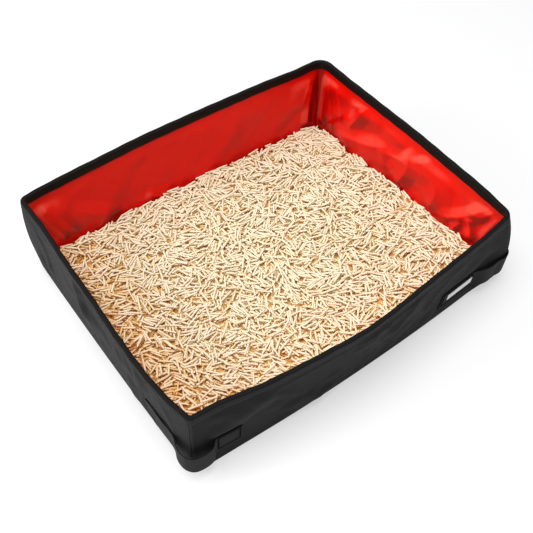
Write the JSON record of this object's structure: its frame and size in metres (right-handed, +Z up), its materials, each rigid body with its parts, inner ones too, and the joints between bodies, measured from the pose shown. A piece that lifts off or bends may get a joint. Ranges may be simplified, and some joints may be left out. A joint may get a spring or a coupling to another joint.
{
  "type": "foldable litter box",
  "caption": "Open fabric tray with stiffened folding walls, a coated lining, taped rim and corner straps, holding loose stick litter.",
  "frame": {"origin": "middle of the whole box footprint, on the surface it stands on", "axes": "+X along the long walls, -Y towards the front wall with the label, +Z up"},
  "size_m": [0.5874, 0.476, 0.152],
  "materials": {
    "woven_outer": "matte",
    "coated_lining": "satin",
    "rim_tape": "matte",
    "webbing": "matte",
    "board": "matte",
    "label": "satin",
    "litter": "matte"
  },
  "bodies": {
    "base": {"base_board_left": "board", "base_board_right": "board", "base_outer": "woven_outer", "front_left_strap_loop": "webbing", "front_right_strap_loop": "webbing", "lining_floor": "coated_lining", "litter_bed": "litter"},
    "front_wall": {"blank_tag": "label", "front_board_left": "board", "front_board_right": "board", "front_left_corner_seam": "rim_tape", "front_left_strap_patch": "webbing", "front_lining": "coated_lining", "front_outer_panel": "woven_outer", "front_right_corner_seam": "rim_tape", "front_right_strap_patch": "webbing", "front_rim_binding": "rim_tape"},
    "rear_wall": {"rear_board_left": "board", "rear_board_right": "board", "rear_left_corner_seam": "rim_tape", "rear_lining": "coated_lining", "rear_outer_panel": "woven_outer", "rear_right_corner_seam": "rim_tape", "rear_rim_binding": "rim_tape"},
    "left_wall": {"front_left_strap_tab": "webbing", "left_board": "board", "left_lining": "coated_lining", "left_outer_panel": "woven_outer", "left_rim_binding": "rim_tape"},
    "right_wall": {"front_right_strap_tab": "webbing", "right_board": "board", "right_lining": "coated_lining", "right_outer_panel": "woven_outer", "right_rim_binding": "rim_tape"},
    "front_left_gusset": {"front_left_gusset_binding": "rim_tape", "front_left_gusset_lining": "coated_lining", "front_left_gusset_outer": "woven_outer"},
    "front_right_gusset": {"front_right_gusset_binding": "rim_tape", "front_right_gusset_lining": "coated_lining", "front_right_gusset_outer": "woven_outer"},
    "rear_left_gusset": {"rear_left_gusset_binding": "rim_tape", "rear_left_gusset_lining": "coated_lining", "rear_left_gusset_outer": "woven_outer"},
    "rear_right_gusset": {"rear_right_gusset_binding": "rim_tape", "rear_right_gusset_lining": "coated_lining", "rear_right_gusset_outer": "woven_outer"}
  },
  "joints": [
    {"name": "front_wall_fold", "type": "hinge", "parent": "base", "child": "front_wall", "pos_m": [0, -0.206, 0.0211], "axis": [-1, 0, 0], "range_deg": [0, 90], "deforming": ["litter_bed", "front_left_strap_loop", "front_right_strap_loop"]},
    {"name": "rear_wall_fold", "type": "hinge", "parent": "base", "child": "rear_wall", "pos_m": [0, 0.219, 0.0211], "axis": [1, 0, 0], "range_deg": [0, 90]},
    {"name": "left_wall_fold", "type": "hinge", "parent": "base", "child": "left_wall", "pos_m": [-0.275, 0.0065, 0.007], "axis": [0, 1, 0], "range_deg": [0, 90]},
    {"name": "right_wall_fold", "type": "hinge", "parent": "base", "child": "right_wall", "pos_m": [0.275, 0.0065, 0.007], "axis": [0, -1, 0], "range_deg": [0, 90]},
    {"name": "front_left_gusset_fold", "type": "hinge", "parent": "front_wall", "child": "front_left_gusset", "pos_m": [-0.275, -0.206, 0.08], "axis": [0, 0, -1], "range_deg": [0, 92], "deforming": ["front_left_gusset_binding", "front_left_gusset_lining", "front_left_gusset_outer"]},
    {"name": "front_right_gusset_fold", "type": "hinge", "parent": "front_wall", "child": "front_right_gusset", "pos_m": [0.275, -0.206, 0.08], "axis": [0, 0, 1], "range_deg": [0, 92], "deforming": ["front_right_gusset_binding", "front_right_gusset_lining", "front_right_gusset_outer"]},
    {"name": "rear_left_gusset_fold", "type": "hinge", "parent": "rear_wall", "child": "rear_left_gusset", "pos_m": [-0.275, 0.219, 0.08], "axis": [0, 0, 1], "range_deg": [0, 92], "deforming": ["rear_left_gusset_binding", "rear_left_gusset_lining", "rear_left_gusset_outer"]},
    {"name": "rear_right_gusset_fold", "type": "hinge", "parent": "rear_wall", "child": "rear_right_gusset", "pos_m": [0.275, 0.219, 0.08], "axis": [0, 0, -1], "range_deg": [0, 92], "deforming": ["rear_right_gusset_binding", "rear_right_gusset_lining", "rear_right_gusset_outer"]}
  ],
  "couplings": [
    {"joint": "rear_wall_fold", "follows": "front_wall_fold", "ratio": 1},
    {"joint": "left_wall_fold", "follows": "front_wall_fold", "ratio": 1},
    {"joint": "right_wall_fold", "follows": "front_wall_fold", "ratio": 1},
    {"joint": "front_left_gusset_fold", "follows": "front_wall_fold", "ratio": 1.0222},
    {"joint": "front_right_gusset_fold", "follows": "front_wall_fold", "ratio": 1.0222},
    {"joint": "rear_left_gusset_fold", "follows": "front_wall_fold", "ratio": 1.0222},
    {"joint": "rear_right_gusset_fold", "follows": "front_wall_fold", "ratio": 1.0222}
  ]
}
